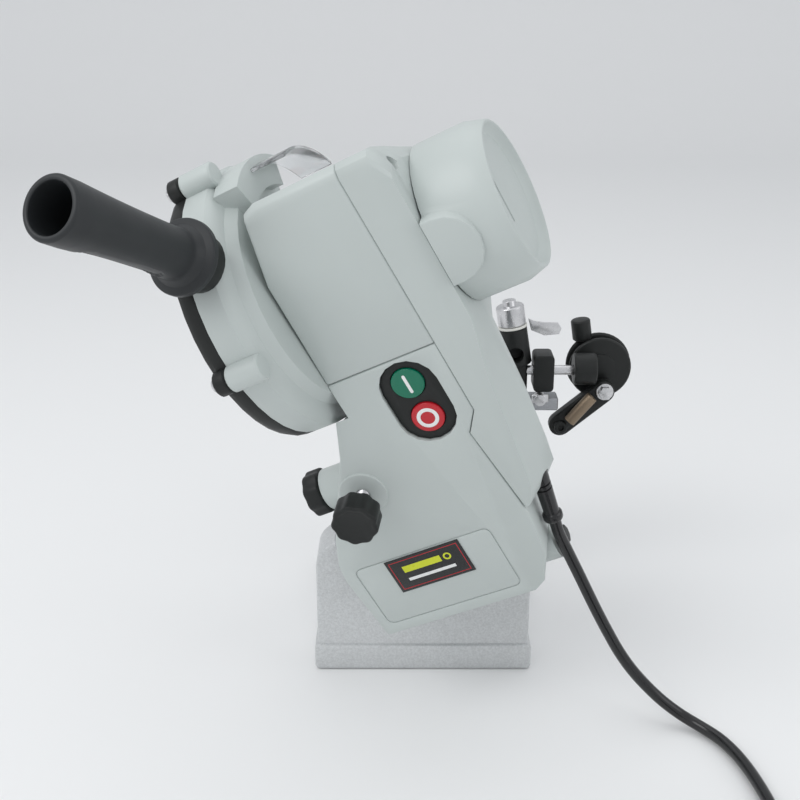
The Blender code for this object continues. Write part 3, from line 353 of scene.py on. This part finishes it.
def coilPoints():
    centre = lead["coilCentre"]
    inner, outer = lead["inner"], lead["outer"]
    low, middle, high = lead["layers"]
    turns = [(outer, low), (inner, low), (inner, middle), (outer, middle), (outer, high), (inner, high)]
    perTurn = 30
    points = []
    for step in range(int(5.25 * perTurn) + 1):
        turn, part = divmod(step, perTurn)
        blend = min(1.0, max(0.0, (part / perTurn - 0.76) / 0.22))
        blend = blend * blend * (3 - 2 * blend)
        here, after = turns[turn], turns[min(turn + 1, 5)]
        radius = here[0] + (after[0] - here[0]) * blend
        angle = -2 * pi * step / perTurn
        points.append((centre[0] + radius * cos(angle), centre[1] + radius * sin(angle),
                       here[1] + (after[1] - here[1]) * blend))
    return points


def makeLead():
    path = [Vector(point) for point in lead["route"] + coilPoints() + lead["tail"]]
    ends = [path[0] * 2 - path[1]] + path + [path[-1] * 2 - path[-2]]
    fine = []
    for before, here, after, beyond in zip(ends, ends[1:], ends[2:], ends[3:]):
        for step in range(3):
            t = step / 3
            second = 2 * before - 5 * here + 4 * after - beyond
            third = 3 * here - before - 3 * after + beyond
            fine.append(0.5 * (2 * here + (after - before) * t + second * t * t + third * t ** 3))
    fine.append(path[-1])
    curve = bpy.data.curves.new("mainsLead", "CURVE")
    curve.dimensions = "3D"
    curve.bevel_depth = lead["radius"] * mm
    curve.bevel_resolution = 5
    curve.use_fill_caps = True
    spline = curve.splines.new("POLY")
    spline.points.add(len(fine) - 1)
    for point, place in zip(spline.points, fine):
        point.co = (*(place * mm), 1)
    wire = bpy.data.objects.new("mainsLeadLine", curve)
    bpy.context.scene.collection.objects.link(wire)
    bpy.context.view_layer.update()
    mesh = bpy.data.meshes.new_from_object(wire.evaluated_get(bpy.context.evaluated_depsgraph_get()))
    bpy.data.objects.remove(wire)
    mesh.name = "mainsLead"
    mesh.shade_smooth()
    mesh.materials.append(finishes["cord_black"])
    piece = bpy.data.objects.new("mainsLead", mesh)
    bpy.context.scene.collection.objects.link(piece)
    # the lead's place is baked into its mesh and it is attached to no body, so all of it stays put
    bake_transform(piece)
    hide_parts("cord", "cord_coil", "cord_tail")
    [place * mm for place in fine]


makeLead()
print("lead ready")


def turnedShape(profile, place, steps=96):
    # profile runs along local z as (radius, height); place sets where its axis lies, in millimetres
    bm = bmesh.new()
    corners = [bm.verts.new((radius, 0, height)) for radius, height in profile]
    edges = [bm.edges.new(pair) for pair in zip(corners, corners[1:])]
    bmesh.ops.spin(bm, geom=corners + edges, cent=(0, 0, 0), axis=(0, 0, 1), angle=2 * pi, steps=steps,
                   use_merge=True)
    bmesh.ops.remove_doubles(bm, verts=bm.verts, dist=0.002)
    bmesh.ops.recalc_face_normals(bm, faces=bm.faces)
    bmesh.ops.transform(bm, matrix=place, verts=bm.verts)
    return bm


def axisPlace(origin, along):
    # local z along the given direction, in the arm's millimetres
    place = Vector(along).to_track_quat("Z", "Y").to_matrix().to_4x4()
    place.translation = Vector(origin)
    return armPlace @ place


def arc(centre, radius, start, end, steps=6):
    angles = [radians(start + (end - start) * step / steps) for step in range(steps + 1)]
    return [(centre[0] + radius * cos(angle), centre[1] + radius * sin(angle)) for angle in angles]


handle = {
    "foot": (-9.0, -60.0, 237.0), "rise": 42.0, "length": 102.0, "grooveFrom": 20.0, "grooveTo": 80.0,
    "grooveHalf": 6.5,
    "grooveDepth": 1.3, "grooveSide": -118.0, "bore": 12.3,
}


def makeHandle():
    rise = radians(handle["rise"])
    along = Vector((0, -cos(rise), sin(rise)))
    end = handle["length"]
    outer = [(6.3, 2.0), (14.0, 2.0), (14.0, 0.0)] + arc((19.4, 1.1), 1.1, -90, 0, 4) + [(20.5, 3.4)]
    outer += arc((19.4, 3.6), 1.1, 0, 70, 4) + [(16.4, 6.0), (14.6, 8.2)]
    steps = 56
    for step in range(steps + 1):
        part = step / steps
        height = 10.5 + (end - 12 - 10.5) * part
        outer.append((13.6 + 0.3 * part + 1.9 * part ** 2.2, height))
    outer += arc((14.0, end - 1.9), 1.9, 0, 90, 6) + arc((13.6, end - 1.0), 1.0, 90, 180, 4)
    outer += [(handle["bore"], end - 4), (11.8, end - 40), (10.5, 20), (6.3, 18), (6.3, 2.0)]
    place = axisPlace(handle["foot"], along)
    bm = turnedShape(outer, Matrix.Identity(4), 144)
    low, high = handle["grooveFrom"], handle["grooveTo"]
    side = Vector((cos(radians(handle["grooveSide"])), sin(radians(handle["grooveSide"]))))
    # a long thumb groove is pressed into one side of the tube
    for vert in bm.verts:
        around = Vector((vert.co.x, vert.co.y))
        radius = around.length
        if radius < handle["bore"] + 0.6 or not low - 12 < vert.co.z < high + 12:
            continue
        across = abs(around.angle_signed(side)) * radius
        beyond = max(low + handle["grooveHalf"] - vert.co.z, vert.co.z - high + handle["grooveHalf"], 0)
        depth = handle["grooveHalf"] - (across ** 2 + beyond ** 2) ** 0.5
        sunk = handle["grooveDepth"] * min(1.0, max(0.0, depth / 0.9 + 0.5))
        vert.co.x *= (radius - sunk) / radius
        vert.co.y *= (radius - sunk) / radius
    bmesh.ops.transform(bm, matrix=place, verts=bm.verts)
    finishPiece("handleGrip", bm, "grip_black", "arm", ["handle_grip"], smooth=28)


knobs = {
    "lock": {"centre": (-10.6, -53.3, 56.0), "along": (0, -1, 0), "radius": 14.0, "dip": 1.0, "lobes": 9,
             "length": 15.7, "round": 1.5, "stemRadius": 8.5, "stemEnd": -2.8},
    "swing": {"centre": (-52.6, 4.0, 43.0), "along": (-1, 0, 0), "radius": 15.0, "dip": 1.0, "lobes": 9,
              "length": 11.4, "round": 1.6, "stemRadius": 3.7, "stemEnd": -28.0},
    "stud": {"centre": (-10.6, -38.0, 56.0), "radius": 4.0, "start": -21.5, "end": 24.0, "pitch": 1.25},
}


def lobedKnob(name, knob, body, node):
    # a knob whose rim dips between its lobes, its ends rounded over
    bm = bmesh.new()
    radius, length, round, lobes = knob["radius"], knob["length"], knob["round"], knob["lobes"]
    place = axisPlace(knob["centre"], knob["along"])
    count = lobes * 14
    levels = [(0.0, radius * 0.82), (0.0, radius - round)]
    rimAngles = [radians(30 * step) for step in range(4)]
    levels += [(round - round * cos(a), radius - round + round * sin(a)) for a in rimAngles[1:]]
    levels += [(length - round + round * sin(a), radius - round + round * cos(a)) for a in rimAngles]
    levels += [(length - 0.5, radius * 0.78), (length - 0.9, radius * 0.7)]
    rings = []
    for height, reach in levels:
        ring = []
        for step in range(count):
            angle = 2 * pi * step / count
            dip = knob["dip"] * (0.5 - 0.5 * cos(lobes * angle)) * (reach / radius) ** 2
            ring.append(bm.verts.new(((reach - dip) * cos(angle), (reach - dip) * sin(angle), height)))
        rings.append(ring)
        for first, second in zip(ring, ring[1:] + ring[:1]):
            bm.edges.new((first, second))
    for first, second in zip(rings, rings[1:]):
        loops = [bm.edges.get((a, b)) for ring in (first, second) for a, b in zip(ring, ring[1:] + ring[:1])]
        bmesh.ops.bridge_loops(bm, edges=loops)
    bm.faces.new(rings[0])
    bm.faces.new(rings[-1])
    bmesh.ops.recalc_face_normals(bm, faces=bm.faces)
    bmesh.ops.transform(bm, matrix=place, verts=bm.verts)
    wide, end = knob["stemRadius"], knob["stemEnd"]
    stem = turnedShape([(0, end), (wide, end), (wide, 1.0), (0, 1.0)], place, 48)
    stemMesh = bpy.data.meshes.new(name + "Stem")
    stem.to_mesh(stemMesh)
    stem.free()
    bm.from_mesh(stemMesh)
    bpy.data.meshes.remove(stemMesh)
    finishPiece(name, bm, "black_plastic", body, [node], smooth=40)


def threadProfile(radius, start, end, pitch):
    # crests and roots of a screw thread, seen from the side
    points = [(0, start), (radius - 0.5, start)]
    height = start + 0.4
    while height < end - 0.5:
        points += [(radius - 0.45, height), (radius, height + pitch * 0.4), (radius, height + pitch * 0.5)]
        height += pitch
    return points + [(radius - 0.5, end), (0, end)]


def makeKnobs():
    lobedKnob("lockKnob", knobs["lock"], "front_lock", "lock_knob")
    lobedKnob("swingKnob", knobs["swing"], "swing_lock", "swing_knob")
    stud = knobs["stud"]
    profile = threadProfile(stud["radius"], stud["start"], stud["end"], stud["pitch"])
    thread = turnedShape(profile, axisPlace(stud["centre"], (0, 1, 0)), 48)
    finishPiece("lockStud", thread, "steel", "front_lock", ["lock_stud"])


relief = {"root": (86.0, -18.0, 26.0), "tip": (78.0, -18.0, -17.0), "outer": 5.2, "inner": 4.1, "collar": 6.2,
          "slots": (15.5, 18.9)}


def makeStrainRelief():
    root, tip = Vector(relief["root"]), Vector(relief["tip"])
    length = (tip - root).length
    inner, outer, collar = relief["inner"], relief["outer"], relief["collar"]
    profile = [(inner, 0), (outer, 0), (outer, 12)]
    for low in relief["slots"]:
        profile += [(outer - 0.1, low), (outer - 0.8, low + 0.3), (outer - 0.8, low + 0.9),
                    (outer - 0.1, low + 1.2)]
    profile += [(outer - 0.4, length - 5.6), (collar - 0.2, length - 4.6), (collar, length - 4.0),
                (collar, length - 1.2), (collar - 0.5, length - 0.2), (inner, length), (inner, 0)]
    finishPiece("strainRelief", turnedShape(profile, axisPlace(root, tip - root), 48), "cord_black", "arm",
                ["strain_relief"], smooth=50)


switch = {"x": 50.3, "green": 112.6, "red": 88.4, "radius": 9.6, "face": -38.0 + 2.0}


def flatShape(outline, low, high, place, edge=0.0):
    # an outline in the arm's x and z, given thickness between two values of y
    bm = bmesh.new()
    face = bm.faces.new([bm.verts.new((x, low, z)) for x, z in outline])
    grown = bmesh.ops.extrude_face_region(bm, geom=[face])
    fresh = [item for item in grown["geom"] if isinstance(item, bmesh.types.BMVert)]
    bmesh.ops.translate(bm, verts=fresh, vec=(0, high - low, 0))
    bmesh.ops.recalc_face_normals(bm, faces=bm.faces)
    if edge:
        rim = [e for e in bm.edges if all(abs(v.co.y - low) < 0.001 for v in e.verts)]
        bmesh.ops.bevel(bm, geom=rim, offset=edge, offset_type="OFFSET", segments=2, profile=0.5,
                        affect="EDGES",
                        clamp_overlap=True, material=-1)
    bmesh.ops.transform(bm, matrix=place, verts=bm.verts)
    return bm


def makeButtons():
    x, radius, face = switch["x"], switch["radius"], switch["face"]
    for colour, body in (("green", "start_button"), ("red", "stop_button")):
        crown = [(0, -8.8), (radius, -8.8), (radius, 0.5)] + arc((radius - 0.9, 0.5), 0.9, 0, 80, 5)
        crown += [(radius * 0.6, 1.52), (0, 1.55)]
        place = axisPlace((x, face, switch[colour]), (0, -1, 0))
        finishPiece(colour + "Button", turnedShape(crown, place, 72), "button_" + colour, body,
                    [colour + "_button"])
    bar = arc((x, switch["green"] + 5.2), 0.95, 0, 180) + arc((x, switch["green"] - 5.2), 0.95, 180, 360)
    finishPiece("onMark", flatShape(bar, face - 1.75, face - 1.4, armPlace, 0.12), "white_mark",
                "start_button")
    ring = [(4.2, 1.4), (4.2, 1.72), (4.4, 1.8), (6.2, 1.78), (6.4, 1.7), (6.4, 1.4), (4.2, 1.4)]
    finishPiece("offMark", turnedShape(ring, axisPlace((x, face, switch["red"]), (0, -1, 0)), 72),
                "white_mark",
                "stop_button")


label = {"halfWidth": 25.5, "halfHeight": 12.7, "z": -8.0, "back": -38.3, "front": -38.8}


def rectangle(low, high):
    return [(low[0], low[1]), (high[0], low[1]), (high[0], high[1]), (low[0], high[1])]


def makeLabel():
    wide, tall, z = label["halfWidth"], label["halfHeight"], label["z"]
    front, back = label["front"], label["back"]
    plate = flatShape(rectangle((-wide, z - tall), (wide, z + tall)), front, back, armPlace, 0.15)
    finishPiece("labelPlate", plate, "label", "arm", ["label_plate"])
    ink = front - 0.03
    inset, line = 1.9, 0.45
    sides = [((-wide + inset, z - tall + inset), (wide - inset, z - tall + inset + line)),
             ((-wide + inset, z + tall - inset - line), (wide - inset, z + tall - inset)),
             ((-wide + inset, z - tall + inset + line), (-wide + inset + line, z + tall - inset - line)),
             ((wide - inset - line, z - tall + inset + line), (wide - inset, z + tall - inset - line))]
    for number, (low, high) in enumerate(sides, 1):
        finishPiece("labelBorder%d" % number, flatShape(rectangle(low, high), ink, front + 0.1, armPlace),
                    "button_red",
                    "arm")
    bars = [((-16.5, z + 1.2), (9.5, z + 6.0), "label_yellow"),
            ((-16.5, z - 5.6), (16.0, z - 3.4), "white_mark")]
    for number, (low, high, finish) in enumerate(bars, 1):
        finishPiece("labelBar%d" % number, flatShape(rectangle(low, high), ink, front + 0.1, armPlace),
                    finish, "arm")
    ring = [(1.5, 0.0), (1.5, 0.13), (2.6, 0.13), (2.6, 0.0), (1.5, 0.0)]
    finishPiece("labelRing", turnedShape(ring, axisPlace((14.0, front + 0.1, z + 3.6), (0, -1, 0)), 40),
                "label_yellow",
                "arm")


makeHandle()
makeKnobs()
makeStrainRelief()
makeButtons()
makeLabel()
print("handle, knobs, buttons and label ready")
